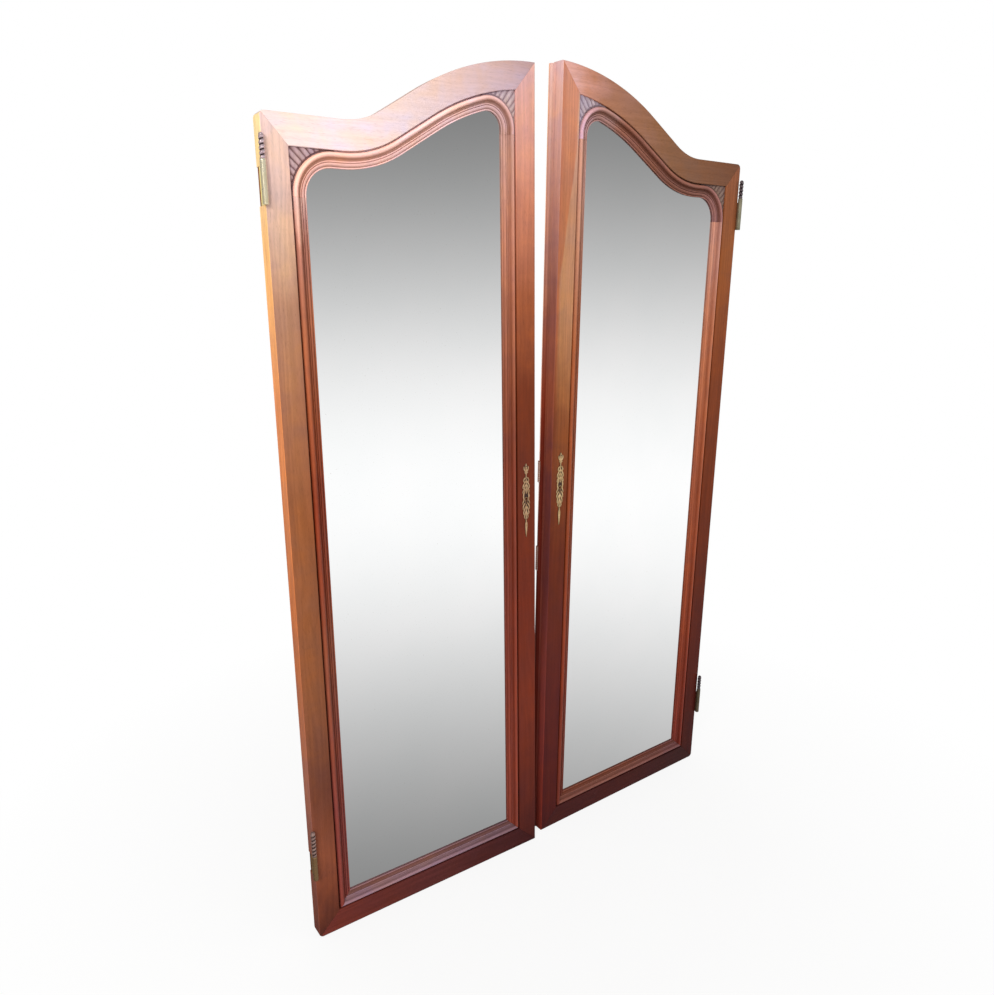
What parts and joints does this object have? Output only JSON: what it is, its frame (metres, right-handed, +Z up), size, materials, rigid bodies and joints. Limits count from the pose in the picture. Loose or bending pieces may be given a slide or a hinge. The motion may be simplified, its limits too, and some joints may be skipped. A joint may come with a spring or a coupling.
{
  "type": "mirrored wardrobe doors",
  "caption": "Arched walnut wardrobe doors with full-length mirrors, carved corners, pierced keyhole plates, lift-off hinge halves, a sliding lock bolt and flat bolts top and bottom.",
  "frame": {"origin": "centre of the open mouth of the left door's lower hinge bore", "axes": "+Z up, +X from the left door towards the right door, +Y from the mirrors towards the backs of the doors"},
  "size_m": [1.2459, 0.1092, 1.86],
  "materials": {
    "walnut": "satin varnish over red-brown figured wood",
    "walnut_moulding": "satin varnish, darker in the hollows",
    "walnut_carving": "hand-carved, satin varnish with dark wax in the grooves",
    "mirror_glass": "silvered plate glass",
    "back_panel": "bare thin board",
    "batten_wood": "bare softwood",
    "hinge_brass": "aged, satin",
    "finial_metal": "dark patina with rubbed edges",
    "plate_brass": "cast and chased, aged",
    "lock_iron": "dark iron",
    "bolt_steel": "worn steel",
    "pin_steel": "dull steel"
  },
  "bodies": {
    "left_door": {"left_hanging_stile": "walnut", "left_meeting_stile": "walnut", "left_top_rail": "walnut", "left_bottom_rail": "walnut", "left_top_moulding": "walnut_moulding", "left_hanging_moulding": "walnut_moulding", "left_meeting_moulding": "walnut_moulding", "left_bottom_moulding": "walnut_moulding", "left_hanging_spandrel": "walnut_carving", "left_meeting_spandrel": "walnut_carving", "left_mirror_glass": "mirror_glass", "left_back_board": "back_panel", "left_top_batten": "batten_wood", "left_bottom_batten": "batten_wood", "left_hanging_batten": "batten_wood", "left_meeting_batten": "batten_wood", "left_batten_pins": "pin_steel", "left_keyhole_plate": "plate_brass", "left_keyhole_plate_pins": "plate_brass", "left_upper_hinge": "hinge_brass", "left_lower_hinge": "hinge_brass", "left_upper_finial": "finial_metal", "left_lower_finial": "finial_metal", "left_hinge_screws": "pin_steel", "lock_case": "lock_iron", "lock_forend": "lock_iron", "lock_screws": "pin_steel"},
    "lock_bolt": {"lock_bolt": "bolt_steel"},
    "right_door": {"right_hanging_stile": "walnut", "right_meeting_stile": "walnut", "right_top_rail": "walnut", "right_bottom_rail": "walnut", "right_top_moulding": "walnut_moulding", "right_hanging_moulding": "walnut_moulding", "right_meeting_moulding": "walnut_moulding", "right_bottom_moulding": "walnut_moulding", "right_hanging_spandrel": "walnut_carving", "right_meeting_spandrel": "walnut_carving", "right_mirror_glass": "mirror_glass", "right_back_board": "back_panel", "right_top_batten": "batten_wood", "right_bottom_batten": "batten_wood", "right_hanging_batten": "batten_wood", "right_meeting_batten": "batten_wood", "right_batten_pins": "pin_steel", "right_keyhole_plate": "plate_brass", "right_keyhole_plate_pins": "plate_brass", "right_upper_hinge": "hinge_brass", "right_lower_hinge": "hinge_brass", "right_upper_finial": "finial_metal", "right_lower_finial": "finial_metal", "right_hinge_screws": "pin_steel", "upper_keep": "lock_iron", "lower_keep": "lock_iron", "top_bolt_guide": "lock_iron", "bottom_bolt_guide": "lock_iron", "fitting_screws": "pin_steel"},
    "top_bolt": {"top_bolt": "bolt_steel"},
    "bottom_bolt": {"bottom_bolt": "bolt_steel"}
  },
  "joints": [
    {"name": "right_door_swing", "type": "hinge", "parent": "left_door", "child": "right_door", "pos_m": [1.23486, 0.03299, -0.00136], "axis": [0, 0, 1], "range_deg": [0, 110]},
    {"name": "lock_bolt_slide", "type": "slide", "parent": "left_door", "child": "lock_bolt", "axis": [1, 0, 0], "range_m": [0, 0.012]},
    {"name": "top_bolt_slide", "type": "slide", "parent": "right_door", "child": "top_bolt", "axis": [0, 0, 1], "range_m": [0, 0.018]},
    {"name": "bottom_bolt_slide", "type": "slide", "parent": "right_door", "child": "bottom_bolt", "axis": [0, 0, -1], "range_m": [0, 0.018]}
  ]
}
